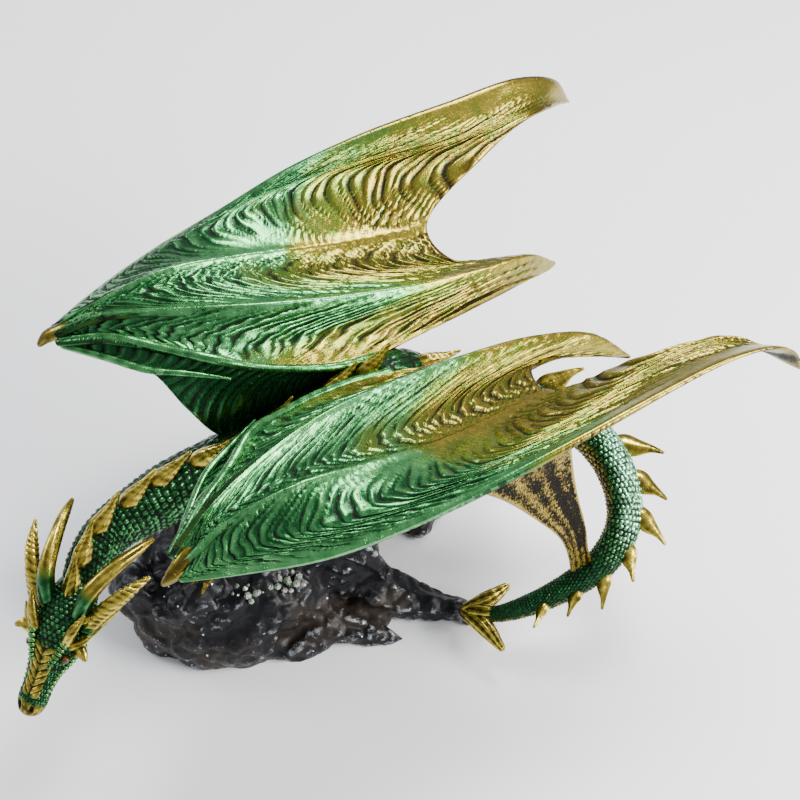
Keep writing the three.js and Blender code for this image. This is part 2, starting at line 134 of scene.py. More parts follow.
def cast(name, patches, weld=2e-6, smooth=True):
    """Casts closed pieces as one mesh: a grid for each, moved into place and sewn at its edges."""
    bm = bmesh.new()
    for patch in patches:
        rows, columns = patch["points"].shape[:2]
        bmesh.ops.create_grid(bm, x_segments=rows - 1, y_segments=columns - 1, size=1.0)
    mesh = bpy.data.meshes.new(name)
    bm.to_mesh(mesh)
    bm.free()
    places = np.empty(len(mesh.vertices) * 3)
    mesh.vertices.foreach_get("co", places)
    places = places.reshape(-1, 3)
    values = {key: np.zeros(len(places), np.float32) for key in ("relief", "gold", "shade")}
    first = 0
    for patch in patches:
        rows, columns = patch["points"].shape[:2]
        part = slice(first, first + rows * columns)
        i = np.rint((places[part, 0] + 1) / 2 * (rows - 1)).astype(int)
        j = np.rint((places[part, 1] + 1) / 2 * (columns - 1)).astype(int)
        places[part] = patch["points"][i, j] * MM
        for key, value in values.items():
            value[part] = np.broadcast_to(patch[key], (rows, columns))[i, j]
        first += rows * columns
    mesh.vertices.foreach_set("co", places.ravel())
    for key, value in values.items():
        mesh.attributes.new(key, "FLOAT", "POINT").data.foreach_set("value", value)
    bm = bmesh.new()
    bm.from_mesh(mesh)
    bmesh.ops.remove_doubles(bm, verts=bm.verts, dist=weld)
    bmesh.ops.dissolve_degenerate(bm, dist=1e-7, edges=bm.edges)
    bmesh.ops.recalc_face_normals(bm, faces=bm.faces)
    bm.to_mesh(mesh)
    bm.free()
    mesh.polygons.foreach_set("use_smooth", np.full(len(mesh.polygons), smooth))
    piece = bpy.data.objects.new(name, mesh)
    bpy.context.scene.collection.objects.link(piece)
    return piece


class Signal:
    """One output in a material, with the usual arithmetic."""

    def __init__(self, paint, socket):
        self.paint = paint
        self.socket = socket

    def figure(self, operation, *values):
        return self.paint.node("ShaderNodeMath", {"operation": operation}, values)

    def __add__(self, other):
        return self.figure("ADD", self, other)

    __radd__ = __add__

    def __sub__(self, other):
        return self.figure("SUBTRACT", self, other)

    def __rsub__(self, other):
        return self.figure("SUBTRACT", other, self)

    def __mul__(self, other):
        return self.figure("MULTIPLY", self, other)

    __rmul__ = __mul__

    def __truediv__(self, other):
        return self.figure("DIVIDE", self, other)

    def __rtruediv__(self, other):
        return self.figure("DIVIDE", other, self)

    def __pow__(self, other):
        return self.figure("POWER", self, other)

    def __rpow__(self, other):
        return self.figure("POWER", other, self)


class Paint:
    """A procedural finish: one method adds any node, and the rest are the few that are used often."""

    def __init__(self, name):
        self.material = bpy.data.materials.new(name)
        self.material.use_nodes = True
        self.tree = self.material.node_tree
        self.tree.nodes.clear()
        self.place = self.node("ShaderNodeTexCoord", output="Object")

    def node(self, kind, settings=None, values=(), output=0):
        made = self.tree.nodes.new(kind)
        for key, value in (settings or {}).items():
            setattr(made, key, value)
        for key, value in values.items() if isinstance(values, dict) else enumerate(values):
            if isinstance(value, Signal):
                self.tree.links.new(value.socket, made.inputs[key])
            else:
                made.inputs[key].default_value = value
        return Signal(self, made.outputs[output]) if made.outputs else None

    def told(self, name):
        return self.node("ShaderNodeAttribute", {"attribute_name": name}, output="Fac")

    def noise(self, scale, detail=3.0, stretch=None):
        place = self.place
        if stretch:
            place = self.node("ShaderNodeVectorMath", {"operation": "MULTIPLY"}, [place, stretch])
        return self.node("ShaderNodeTexNoise", None, {"Vector": place, "Scale": scale, "Detail": detail})

    def grow(self, value, low, high):
        """0 at low and 1 at high, smoothly."""
        kind = {"interpolation_type": "SMOOTHSTEP"}
        if low > high:
            return 1 - self.node("ShaderNodeMapRange", kind, [value, high, low])
        return self.node("ShaderNodeMapRange", kind, [value, low, high])

    def mix(self, share, a, b):
        a, b = (value if isinstance(value, Signal) else (*value, 1) for value in (a, b))
        return self.node("ShaderNodeMix", {"data_type": "RGBA"}, {0: share, 6: a, 7: b}, 2)

    def finish(self, values, bump=None, strength=0.5, distance=0.0006):
        if bump is not None:
            settings = {"Height": bump, "Strength": strength, "Distance": distance}
            values["Normal"] = self.node("ShaderNodeBump", None, settings)
        shader = self.node("ShaderNodeBsdfPrincipled", None, values)
        self.node("ShaderNodeOutputMaterial", None, {"Surface": shader})
        return self.material


def fold_noise(point):
    """Sharp edged folds and facets of broken rock, as two heights in millimetres."""
    ridge = noise.ridged_multi_fractal(point * 70, 0.8, 2.3, 5, 1.0, 2.0)
    near, next_near = noise.voronoi(point * 95)[0][:2]
    return 1.9 * min(ridge * 0.36, 1.0), 3.0 * min(next_near - near, 0.5)


def raised_edges(mesh):
    """How far each point stands out from its neighbours, from 0 in a hollow to 1 on an edge."""
    places = np.empty(len(mesh.vertices) * 3)
    mesh.vertices.foreach_get("co", places)
    places = places.reshape(-1, 3)
    outward = np.empty(len(mesh.vertices) * 3)
    mesh.vertices.foreach_get("normal", outward)
    ends = np.empty(len(mesh.edges) * 2, int)
    mesh.edges.foreach_get("vertices", ends)
    a, b = ends.reshape(-1, 2).T
    count = np.bincount(ends, minlength=len(places))[:, None]
    level = places
    for _ in range(EDGE_REACH):
        total = np.zeros_like(places)
        np.add.at(total, a, level[b])
        np.add.at(total, b, level[a])
        level = total / count
    stand = np.sum((places - level) * outward.reshape(-1, 3), axis=1)
    return np.clip(0.5 + stand / EDGE_STAND, 0, 1).astype(np.float32)


def build_rock():
    bm = bmesh.new()
    for x, y, z, half_x, half_y, half_z, degrees in BOULDERS:
        made = bmesh.ops.create_icosphere(bm, subdivisions=4, radius=1.0)
        turn = math.radians(degrees)
        for vert in made["verts"]:
            out = vert.co.copy()
            flat_x, flat_y = out.x * half_x, out.y * half_y
            place = Vector((
                x + flat_x * math.cos(turn) - flat_y * math.sin(turn),
                y + flat_x * math.sin(turn) + flat_y * math.cos(turn),
                z + out.z * half_z,
            ))
            for size, wave, shift in ((2.6, 0.11, 0.4), (1.5, 0.23, 1.9)):
                swell = math.sin(wave * place.x * 1.3 + shift) * math.sin(wave * place.y + 2 * shift)
                place += out * size * swell * math.sin(wave * place.z * 1.7 + 3 * shift)
            vert.co = place * MM
    for x, y, z, radius in KNOBS:
        made = bmesh.ops.create_icosphere(bm, subdivisions=3, radius=radius * MM)
        bmesh.ops.translate(bm, verts=made["verts"], vec=Vector((x, y, z)) * MM)
    mesh = bpy.data.meshes.new("rock_base")
    bm.to_mesh(mesh)
    bm.free()
    rough = bpy.data.objects.new("rough_rock", mesh)
    bpy.context.scene.collection.objects.link(rough)
    slates = cast("slates", [tube(stations, 30, 6) for stations in SLATES], smooth=False)
    bm = bmesh.new()
    bm.from_mesh(mesh)
    bm.from_mesh(slates.data)
    bm.to_mesh(mesh)
    bm.free()
    bpy.data.objects.remove(slates)
    merge = rough.modifiers.new("merge", "REMESH")
    merge.mode = "VOXEL"
    merge.voxel_size = ROCK_GRAIN
    merged = bpy.data.meshes.new_from_object(rough.evaluated_get(bpy.context.evaluated_depsgraph_get()))
    bpy.data.objects.remove(rough)
    bm = bmesh.new()
    bm.from_mesh(merged)
    every_way = {"use_axis_x": True, "use_axis_y": True, "use_axis_z": True}
    for _ in range(2):
        bmesh.ops.smooth_vert(bm, verts=bm.verts, factor=0.5, **every_way)
    bm.normal_update()
    moves = []
    for vert in bm.verts:
        ridge, facet = fold_noise(vert.co)
        lump = noise.noise(vert.co * 48)
        moves.append(vert.normal * (ridge + facet - 2.1 + 2.8 * lump) * MM)
    for vert, move in zip(bm.verts, moves):
        vert.co += move
    cut = bmesh.ops.bisect_plane(
        bm,
        geom=[*bm.verts, *bm.edges, *bm.faces],
        plane_co=(0, 0, 0),
        plane_no=(0, 0, -1),
        clear_outer=True,
    )
    rim = [item for item in cut["geom_cut"] if isinstance(item, bmesh.types.BMEdge)]
    bmesh.ops.holes_fill(bm, edges=rim, sides=0)
    bmesh.ops.recalc_face_normals(bm, faces=bm.faces)
    bm.to_mesh(merged)
    bm.free()
    merged.polygons.foreach_set("use_smooth", np.full(len(merged.polygons), True))
    merged.attributes.new("relief", "FLOAT", "POINT").data.foreach_set("value", raised_edges(merged))
    rock = bpy.data.objects.new("rock", merged)
    bpy.context.scene.collection.objects.link(rock)
    return rock


def rock_paint():
    paint = Paint("black_rock_paint")
    broad = paint.noise(28)
    fine = paint.noise(420, 5)
    brown = paint.grow(broad, 0.52, 0.66)
    black = paint.mix(brown, (0.0045, 0.0045, 0.006), (0.022, 0.016, 0.012))
    worn = paint.told("relief") * 0.7 + fine * 0.6 + paint.noise(1300, 3) * 0.5
    dusted = paint.grow(worn, 1.04, 1.30) * paint.grow(paint.noise(45), 0.36, 0.6)
    silver = paint.mix(dusted * 0.75, black, (0.34, 0.35, 0.38))
    cells = {"Vector": paint.place, "Scale": 480.0}
    glint = paint.node("ShaderNodeTexVoronoi", None, cells)
    picked = paint.node("ShaderNodeTexWhiteNoise", None, {
        "Vector": paint.node("ShaderNodeTexVoronoi", None, cells, "Position"),
    })
    glitter = paint.grow(glint, 0.34, 0.2) * paint.grow(picked, 0.985, 0.99)
    colour = paint.mix(glitter, silver, (0.9, 0.92, 0.95))
    metal = dusted * 0.5 + glitter
    return paint.finish(
        {
            "Base Color": colour,
            "Roughness": 0.26 + fine * 0.3,
            "Metallic": metal,
            "Specular IOR Level": 0.2,
        },
        bump=fine * 0.7 + paint.noise(1400, 2) * 0.3,
        strength=0.5,
        distance=0.0008,
    )


rock = build_rock()
rock.data.materials.clear()
rock.data.materials.append(rock_paint())
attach(rock, "root")
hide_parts("rock_base")

# ---- Crystal patch ----
# Short pointed six-sided crystals in pale green clear resin, with glitter cast in.
# They are glued as one cluster into a pocket in the rock's left side.

CRYSTAL_BED = Vector((30, -56, 45))
CRYSTALS_IN_A_ROW = 6
CRYSTAL_ROWS = [
    (-5, -14, 15),
    (-4, -6, 17),
    (3, 0, 16),
    (6, 8, 15),
    (-3, 7, 14),
    (5, -9, 13),
    (9, 16, 12),
]


def build_crystals():
    bm = bmesh.new()
    for row, (x, y, height) in enumerate(CRYSTAL_ROWS):
        for k in range(CRYSTALS_IN_A_ROW):
            angle = 2.4 * k + row
            reach = 1.4 + 0.95 * k
            radius = 2.7 - 0.2 * k
            tall = height * (0.52 - 0.035 * k)
            lean = Vector((0.35 + 0.5 * math.cos(angle), 0.5 * math.sin(angle), 1.3)).normalized()
            spin = lean.to_track_quat("Z", "Y").to_matrix().to_4x4()
            aside = Vector((x + reach * math.cos(angle), y + reach * math.sin(angle), 0))
            base = CRYSTAL_BED + aside
            six_sided = {"cap_ends": False, "segments": 6}
            wide, narrow = radius * MM, radius * 0.8 * MM
            shaft = bmesh.ops.create_cone(bm, radius1=wide, radius2=narrow, depth=tall * MM, **six_sided)
            point = tall * 0.35 * MM
            tip = bmesh.ops.create_cone(bm, radius1=narrow, radius2=0, depth=point, **six_sided)
            bmesh.ops.translate(bm, verts=tip["verts"], vec=(0, 0, tall * 0.675 * MM))
            both = shaft["verts"] + tip["verts"]
            bmesh.ops.transform(bm, matrix=spin, verts=both)
            bmesh.ops.translate(bm, verts=both, vec=base * MM)
    bmesh.ops.remove_doubles(bm, verts=bm.verts, dist=1e-6)
    bmesh.ops.holes_fill(bm, edges=[edge for edge in bm.edges if edge.is_boundary], sides=0)
    bmesh.ops.recalc_face_normals(bm, faces=bm.faces)
    bmesh.ops.bevel(
        bm, geom=list(bm.edges), offset=0.12 * MM, affect="EDGES", segments=1, profile=0.5, material=-1,
    )
    mesh = bpy.data.meshes.new("crystals")
    bm.to_mesh(mesh)
    bm.free()
    crystals = bpy.data.objects.new("crystals", mesh)
    bpy.context.scene.collection.objects.link(crystals)
    return crystals


def crystal_resin():
    paint = Paint("glitter_crystal_resin")
    cells = {"Vector": paint.place, "Scale": 900.0}
    flake = paint.node("ShaderNodeTexWhiteNoise", None, {
        "Vector": paint.node("ShaderNodeTexVoronoi", None, cells, "Position"),
    })
    tint = paint.node("ShaderNodeTexWhiteNoise", None, {
        "Vector": paint.node("ShaderNodeTexVoronoi", None, cells, "Position"),
    }, "Color")
    body = paint.mix(paint.noise(160), (0.2, 0.3, 0.22), (0.5, 0.56, 0.46))
    sparkle = paint.grow(flake, 0.8, 0.85)
    colour = paint.mix(sparkle, body, paint.mix(0.45, tint, (0.95, 0.95, 0.85)))
    return paint.finish(
        {
            "Base Color": colour,
            "Roughness": 0.12 + paint.noise(300) * 0.2,
            "Metallic": sparkle * 0.8,
            "Coat Weight": 0.8,
            "Transmission Weight": 0.25,
        },
        bump=flake,
        strength=0.5,
        distance=0.0003,
    )


crystals = build_crystals()
crystals.data.materials.append(crystal_resin())
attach(crystals, "root")
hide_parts("crystal_cluster")

# ---- Neck, body and tail ----
# One long casting from the back of the skull to the tail's end, covered in small raised scales.
# It is sprayed metallic green, washed with black that stays between the scales.

SPINE = [
    (25, -153, 98, 9, 9),
    (16, -142, 106, 11.5, 11.5),
    (6.5, -127, 110, 12.8, 12.8),
    (2.5, -107, 113, 14.5, 14.5),
    (0, -86, 113, 17.5, 17),
    (0, -62, 108, 22, 24),
    (0, -36, 103, 24, 30),
    (0, -6, 111, 22, 31),
    (0, 22, 117, 22, 30),
    (0, 40, 122, 20, 26),
    (2, 60, 113, 15.5, 18),
    (9, 88, 102, 13, 14),
    (30, 118, 95, 12, 12),
    (60, 134, 89, 11.5, 11.5),
    (86, 134, 82, 10.8, 10.8),
    (104, 126, 71, 10, 10),
    (112, 110, 57, 9.2, 9.2),
    (110, 92, 43, 8, 8),
    (105, 70, 32, 6.6, 6.6),
    (98, 53, 25, 5, 5),
]
NECK_PART = slice(0, 12)
TAIL_PART = slice(9, None)
TAIL_END = [(91, 46, 22.5, 4.2, 3.8), (86, 41, 20.5, 2.4, 2.2)]


def pebbles(rows, columns):
    """Rounded scales laid like bricks: the height of each, 0 between them and up to 1 on top."""
    row = np.floor(rows)
    shifted = columns + 0.5 * (row % 2)
    column = np.floor(shifted)
    across, along = 2 * (shifted - column) - 1, 2 * (rows - row) - 1
    dome = (1 - np.abs(across) ** 2.2) * (1 - np.abs(along) ** 2.2)
    chance = np.sin(row * 12.9898 + column * 78.233) * 43758.5453
    return dome * (0.6 + 0.4 * (chance - np.floor(chance)))


def scale_skin(count, height, colours):
    """Raised scales, count of them round the limb. colours gives gold and shade from run and around."""

    def skin(run, around, girth):
        pitch = 2 * math.pi * np.maximum(girth, 2) / count
        rows = np.cumsum(np.gradient(run[:, 0])[:, None] / pitch, axis=0)
        dome = pebbles(rows, (around % 1) * count)
        gold, shade = colours(run, around)
        return (dome - 1) * height, dome, gold + 0 * dome, shade + 0 * dome

    return skin


def neck_colours(run, around):
    near = np.clip(-np.sin(2 * math.pi * around), 0, 1)
    # Painted light and shade: the near (+X) side of the neck is painted lighter and the far side darker.
    return 0 * run, 0.8 * near - 0.3 + 0 * run


def tail_colours(run, around):
    inner = np.clip(-np.sin(2 * math.pi * around) * 3 - 1.9, 0, 1) * np.clip((run - 110) / 20, 0, 1)
    low = np.clip(np.sin(2 * math.pi * (around - 0.06)) * 4 - 2.9, 0, 1) * np.clip((run - 200) / 25, 0, 1)
    ruffle = low * (0.55 + 0.45 * np.sin(run * 0.9))
    # upper is a painted highlight: the tail is painted lighter, towards mint, on one side just below the
    # wing. dark makes the tail darker towards the spade.
    upper = 2.0 * np.exp(-(((run - 152) / 36) ** 2)) * np.clip(0.9 + np.sin(2 * math.pi * around), 0, 1)
    dark = 1.5 * np.clip((run - 190) / 40, 0, 1)
    return np.clip(0.8 * inner + ruffle, 0, 1), upper - dark - 0.1


def dragon_paint(name, mottle=1.0, bright=(0.34, 0.28, 0.042), grit=0.0):
    """Metallic green and gold over the resin. Black wash stays where the relief is low."""
    paint = Paint(name)
    relief, gold, shade = paint.told("relief"), paint.told("gold"), paint.told("shade")
    if grit:
        cell = paint.node("ShaderNodeTexVoronoi", None, {"Vector": paint.place, "Scale": 520.0})
        relief = relief * (1 - grit) + paint.grow(cell, 0.72, 0.25) * grit
    broad, middle, fine = paint.noise(38), paint.noise(170, 4), paint.noise(900, 4)
    deep = paint.mix(broad, (0.003, 0.030, 0.008), (0.010, 0.10, 0.026))
    light = paint.mix(middle, (0.035, 0.21, 0.055), (0.16, 0.48, 0.17))
    # Painted light and shade: lit makes the green lighter on the relief's crests and where the shade
    # attribute is high, a painted highlight, and darker where shade is low, a painted shade; the middle
    # noise in it is random tone.
    lit = paint.grow(relief * 0.75 + middle * 0.55 + shade * 0.4, 0.62, 1.25)
    green = paint.mix(lit, deep, light)
    # Painted highlight: where the shade attribute is high, the lit green turns towards pale mint.
    green = paint.mix(paint.grow(shade + middle * 0.4, 0.7, 1.4) * lit, green, (0.26, 0.64, 0.38))
    old_gold = paint.mix(middle, (0.17, 0.12, 0.01), bright)
    warm = paint.mix(paint.grow(relief + middle * 0.5, 0.55, 1.3), (0.07, 0.045, 0.005), old_gold)
    patchy = paint.grow(gold + (broad - 0.5) * 0.6 * mottle, 0.12, 0.5)
    olive = paint.mix(patchy, green, (0.13, 0.19, 0.022))
    colour = paint.mix(paint.grow(gold + (middle - 0.5) * 0.8 * mottle, 0.34, 0.78), olive, warm)
    pits = paint.grow(paint.noise(620, 2), 0.36, 0.30) * paint.grow(broad, 0.38, 0.55) * mottle
    wash = paint.grow(relief + (fine - 0.5) * 0.6 + (middle - 0.5) * 0.5, 0.54, 0.20)
    dark = paint.node("ShaderNodeMath", {"operation": "MAXIMUM"}, [wash * 0.96, pits * 0.8])
    colour = paint.mix(dark, colour, (0.003, 0.004, 0.002))
    return paint.finish(
        {
            "Base Color": colour,
            "Metallic": 0.94 - dark * 0.9,
            "Roughness": 0.17 + fine * 0.16 + dark * 0.3,
            "Specular IOR Level": 0.1,
            "Coat Weight": 0.12 - dark * 0.12,
            "Coat Roughness": 0.15,
        },
        bump=relief * 0.35 + middle * 0.3 + fine * 0.2 - pits * 0.5,
        strength=0.6,
        distance=0.0009,
    )


scale_paint = dragon_paint("green_scale_paint", 0.5, (0.90, 0.68, 0.09), 0.3)
neck = cast("neck_and_body", [tube(SPINE[NECK_PART], 380, 120, scale_skin(28, 1.1, neck_colours))])
tail = cast("tail", [tube(SPINE[TAIL_PART] + TAIL_END, 560, 96, scale_skin(24, 0.9, tail_colours))])
for piece in (neck, tail):
    piece.data.materials.append(scale_paint)
    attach(piece, "root")
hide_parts("dragon")

# ---- Legs and clawed feet ----
# Four bent legs cast with the body and scaled like it, with three gold claws on each foot.
# The feet are glued into shallow seats in the rock.

FRONT_LEG = [
    (15, -54, 108, 11, 14),
    (27, -46, 92, 9, 12),
    (31, -50, 80, 7, 8),
    (27, -62, 70, 6, 6.5),
    (24, -72, 65, 7, 4.6),
    (23, -78, 63, 5, 3),
]
HIND_LEG = [
    (15, 35, 122, 12, 17),
    (27, 27, 110, 12, 16),
    (35, 16, 93, 9, 11),
    (33, 22, 78, 6.5, 7.5),
    (29, 24, 68, 5.6, 6),
    (26, 14, 62, 7, 4.4),
    (25, 7, 60.5, 5, 3),
]
TOE_LENGTH = 13
TOE_TURNS = (-32, 0, 32)


def mirrored(patch):
    """The same casting on the dragon's right side."""
    return {**patch, "points": patch["points"] * np.array([-1.0, 1.0, 1.0])}


def horn_skin(green_root, ribs=0.0, grooves=9):
    """Gold horn: smooth or ribbed across, with fine grooves along it, and green at its root."""

    def skin(run, around, girth):
        length = run.max()
        gold = np.clip((run / length - green_root) * 6 + 0.5, 0, 1) + 0 * around
        along = 0.5 + 0.5 * np.sin(2 * math.pi * around * grooves + 0.15 * run)
        twist = 2.2 * np.sin(2 * math.pi * around) + 0.8 * np.sin(run * 0.37)
        across = np.abs(np.sin(run * 0.95 + twist))
        relief = np.clip(0.45 + 0.35 * along + ribs * (across - 0.4), 0.05, 1)
        return (relief - 1) * (0.35 + ribs), relief, gold, 0 * relief

    return skin


toes = []
legs = []
for stations in (FRONT_LEG, HIND_LEG):
    leg_skin = scale_skin(18, 0.7, lambda run, around: (0 * run, 0 * run - 0.2))
    legs.append(tube(stations, 64, 52, leg_skin, up=(0, -1, 0.2)))
    x, y, z = stations[-1][:3]
    for degrees in TOE_TURNS:
        aside = math.sin(math.radians(degrees)) * TOE_LENGTH
        ahead = -math.cos(math.radians(degrees)) * TOE_LENGTH
        claw = [
            (x - 0.2 * aside, y - 0.2 * ahead, z + 0.6, 2.8, 2.6),
            (x + 0.5 * aside, y + 0.5 * ahead, z + 1.2, 2.6, 2.6),
            (x + 1.15 * aside, y + 1.15 * ahead, z - 4, 0.5, 0.5),
        ]
        toes.append(tube(claw, 16, 14, horn_skin(0.45)))
feet = cast("legs_and_claws", [*legs, *toes, *map(mirrored, legs), *map(mirrored, toes)])
feet.data.materials.append(scale_paint)
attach(feet, "root")

# ---- Crest plates and tail spines ----
# Broad leaf-shaped plates down the neck and curved spines round the tail's loop, cast with the body.
# They are painted old gold over ribs, rubbed bright on their edges.

TAIL_LOOP_CENTRE = np.array([72, 84, 80])
SPINE_STEPS = len(SPINE) - 1
NECK_PLATES = [0.4, 1.2, 2.1, 3, 3.8, 4.6, 5.5, 6.6, 7.7, 8.7, 9.6]
TAIL_SPINES = 11
FIRST_TAIL_SPINE = 10.6
TAIL_SPINE_STEP = 0.72
TAIL_SPINE_LENGTH = 15
TAIL_SPINE_HEIGHT = 14


def crest_plate(station, length, height, width, sunk, sweep, skin):
    """A plate or spine standing on the crest, swept back along the body."""
    t = np.array([station, station - 0.01, station + 0.01]) / SPINE_STEPS
    line = through([row[:3] for row in SPINE], t)
    girth = through([(row[3], row[4], 0) for row in SPINE], t)[0, 1]
    along = unit(line[2] - line[1])
    outward = unit((line[0] - TAIL_LOOP_CENTRE) * [1, 1, 0])
    turn = np.clip((station - 10) / 4, 0, 1)
    turn = turn * turn * (3 - 2 * turn)
    out = unit(np.array([0, 0, 1 - 0.72 * turn]) + outward * 1.2 * turn)
    out = unit(out - along * out.dot(along))

    def at(back, lift):
        return line[0] + along * back + out * (girth - sunk + lift)

    return tube([
        (*at(-0.30 * length, -5), width, length * 0.46),
        (*at(-0.22 * length, 0.5), width, length * 0.46),
        (*at(0.08 * length, 0.4 * height), width * 0.85, length * 0.36),
        (*at(0.5 * sweep * length, 0.8 * height), width * 0.5, length * 0.17),
        (*at(sweep * length, height + sunk), 0.7, 0.9),
    ], 28, 28, skin, up=-along, flatten=1.5)


neck_plate = {"length": 15, "height": 9.5, "width": 5.2, "sunk": 3, "sweep": 1.0}
plates = [crest_plate(station, skin=horn_skin(-0.1, 0.35, 7), **neck_plate) for station in NECK_PLATES]
for i in range(TAIL_SPINES):
    size = 1 - 0.07 * max(0, i - 4)
    tall = TAIL_SPINE_HEIGHT * size * (1.15 if i % 2 == 0 else 0.9)
    station = FIRST_TAIL_SPINE + TAIL_SPINE_STEP * i
    tail_spine = {"length": TAIL_SPINE_LENGTH * size, "height": tall, "width": 3.4, "sunk": 2, "sweep": 0.75}
    plates.append(crest_plate(station, skin=horn_skin(-0.1, 0.1, 5), **tail_spine))
crest = cast("crest_plates", plates)
gold_paint = dragon_paint("old_gold_paint", 0.6, (1.0, 0.80, 0.11))
crest.data.materials.append(gold_paint)
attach(crest, "root")

# ---- Tail spade ----
# Two grooved barbs swept back from one blunt point, painted gold.
# They are cast on the tail's end, which runs in between them over the rock's finger.

BARBS = [
    [(84, 39, 19, 3.2, 2.2), (87, 52, 23, 5.4, 4.2), (86, 68, 27, 2, 2)],
    [(84, 39, 19, 3.2, 2.2), (98, 44, 21, 5.4, 4.2), (117, 47, 19, 2, 2)],
]
SPADE_ROOT = [(98, 53, 25, 4.8, 4.8), (91, 46, 22.5, 5.2, 4.2), (86, 41, 20, 4, 3)]


def barb_skin(run, around, girth):
    grooves = 0.5 + 0.5 * np.cos(2 * math.pi * around * 8 + 0.12 * run)
    relief = np.clip(0.35 + 0.65 * grooves + 0.1 * np.sin(1.3 * run), 0, 1) + 0 * run
    return (relief - 1) * 0.75, relief, 0 * relief + 1, 0 * relief


barbs = [tube(stations, 50, 64, barb_skin) for stations in BARBS]
spade = cast("tail_spade", [*barbs, tube(SPADE_ROOT, 30, 48, barb_skin)])
spade.data.materials.append(gold_paint)
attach(spade, "root")

# ---- Head ----
# A narrow wedge-shaped head cast with the neck: beaded brows, gold plates in a chevron down the snout,
# and a closed mouth. It is green, with the nose in golden brown.

HEAD_ORIGIN = np.array([30, -159.4, 107.5])
HEAD_YAW = math.radians(33)
HEAD_PITCH = math.radians(38)
SKULL = [
    (-12, 0, -12, 9, 8),
    (-2, 0, -10.5, 12.5, 10),
    (10, 0, -9, 15, 11),
    (22, 0, -9, 14.5, 10.5),
    (34, 0, -9.5, 10.5, 8.5),
    (46, 0, -10, 8.2, 7),
    (56, 0, -10, 8.4, 6.6),
    (62, 0, -10.5, 6.5, 5.4),
    (65, 0, -11.5, 3, 3),
]
JAW = [
    (2, 0, -19, 10, 4.5),
    (18, 0, -20, 10.5, 4.5),
    (34, 0, -18.5, 7.2, 3.6),
    (48, 0, -17, 5.6, 3),
    (58, 0, -16, 3.2, 2.2),
]
BROW = [
    (37, 4.6, -2.6, 1.4, 1.2),
    (28, 7.6, -0.4, 2.2, 1.8),
    (19, 10.2, 0.2, 2.4, 2),
    (10, 12.4, 0.2, 2, 1.8),
]
CHEEK_RIDGE = [
    (52, 6.6, -8.5, 1.3, 1.3),
    (40, 8.4, -9, 1.7, 1.6),
    (28, 12.4, -9.5, 2.2, 2),
    (18, 15, -10, 2.4, 2.2),
]
EYE_ASIDE = 11.2
GUM = [(50, -6.4, -14.2, 0.9, 0.8), (56, -6.6, -14, 1.3, 1.1), (60, -4.5, -14.2, 0.9, 0.8)]

forward = np.array([math.sin(HEAD_YAW), -math.cos(HEAD_YAW), 0]) * math.cos(HEAD_PITCH)
forward[2] = -math.sin(HEAD_PITCH)
leftward = np.array([math.cos(HEAD_YAW), math.sin(HEAD_YAW), 0])
HEAD_AXES = np.array([forward, leftward, np.cross(forward, leftward)])


def on_head(patch):
    return {**patch, "points": patch["points"] @ HEAD_AXES + HEAD_ORIGIN}


def across_head(patch):
    return {**patch, "points": patch["points"] * np.array([1.0, -1.0, 1.0])}


def skull_skin(run, around, girth):
    away = np.minimum(around, 1 - around)
    dome = pebbles(run / 2.3, (around % 1) * 30)
    snout = np.clip((run - 36) / 4, 0, 1) * np.clip((67 - run) / 3, 0, 1)
    snout = snout * np.clip((0.115 - away) / 0.02, 0, 1)
    rung = (run + away * 46) / 4.4
    plate = 1 - np.abs(2 * (rung - np.floor(rung)) - 1) ** 3
    plate = plate * (1 - np.exp(-((away / 0.012) ** 2)) * 0.7)
    relief = dome * (1 - snout) + plate * snout
    nose = np.clip((run - 67) / 4, 0, 1)
    relief = relief * (1 - nose) + nose * 0.65
    nostril = np.exp(-(((run - 72) / 1.7) ** 2) - ((away - 0.085) / 0.022) ** 2)
    mouth = np.exp(-(((away - 0.30) / 0.012) ** 2)) * np.clip((run - 30) / 6, 0, 1)
    relief = np.clip(relief - nostril - mouth, 0, 1)
    gold = np.clip(snout * (0.35 + 0.6 * plate) + nose * 0.75, 0, 1)
    return (relief - 1) * 0.8 - 0.9 * nostril - 0.6 * mouth, relief, gold, 0.1 - 0.5 * nose + 0 * relief


def bead_skin(run, around, girth):
    bead = np.abs(np.sin(run * 1.25)) ** 0.7 + 0 * around
    return (bead - 1) * 1.0, bead, 0.3 * bead, 0.35 + 0 * bead


jaw_skin = scale_skin(16, 0.6, lambda run, around: (0 * run, 0 * run))
brows = [tube(BROW, 80, 16, bead_skin), tube(CHEEK_RIDGE, 80, 16, bead_skin)]
skull = tube(SKULL, 220, 144, skull_skin)
jaw = tube(JAW, 100, 56, jaw_skin)
head_patches = [skull, jaw, *brows, *map(across_head, brows)]
head = cast("head", [on_head(patch) for patch in head_patches])
head.data.materials.append(scale_paint)
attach(head, "root")

eyes = []
for y in (EYE_ASIDE, -EYE_ASIDE):
    eyes.append(tube([(27, y, -4.6, 2.3, 2.3), (31, y * 0.93, -4.9, 2.0, 2.0)], 16, 24))
eye_pair = cast("eyes", [on_head(patch) for patch in eyes])
eye_paint = Paint("amber_eye_paint")
amber = eye_paint.mix(eye_paint.noise(700), (0.03, 0.008, 0.001), (0.12, 0.05, 0.004))
shine = 0.1 + eye_paint.noise(300) * 0.1
eye_pair.data.materials.append(eye_paint.finish({"Base Color": amber, "Roughness": shine}))
gums = cast("gums", [on_head(tube(GUM, 30, 18))])
gum_paint = Paint("red_gum_paint")
red = gum_paint.mix(gum_paint.noise(600), (0.20, 0.01, 0.015), (0.45, 0.04, 0.05))
shine = 0.25 + gum_paint.noise(500) * 0.2
gums.data.materials.append(gum_paint.finish({"Base Color": red, "Roughness": shine}))
for piece in (eye_pair, gums):
    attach(piece, "root")

# ---- Horns ----
# Long smooth horns, ragged frill horns and rows of small horns, cast with the head and painted gold.
# The long ones stay green at their roots.

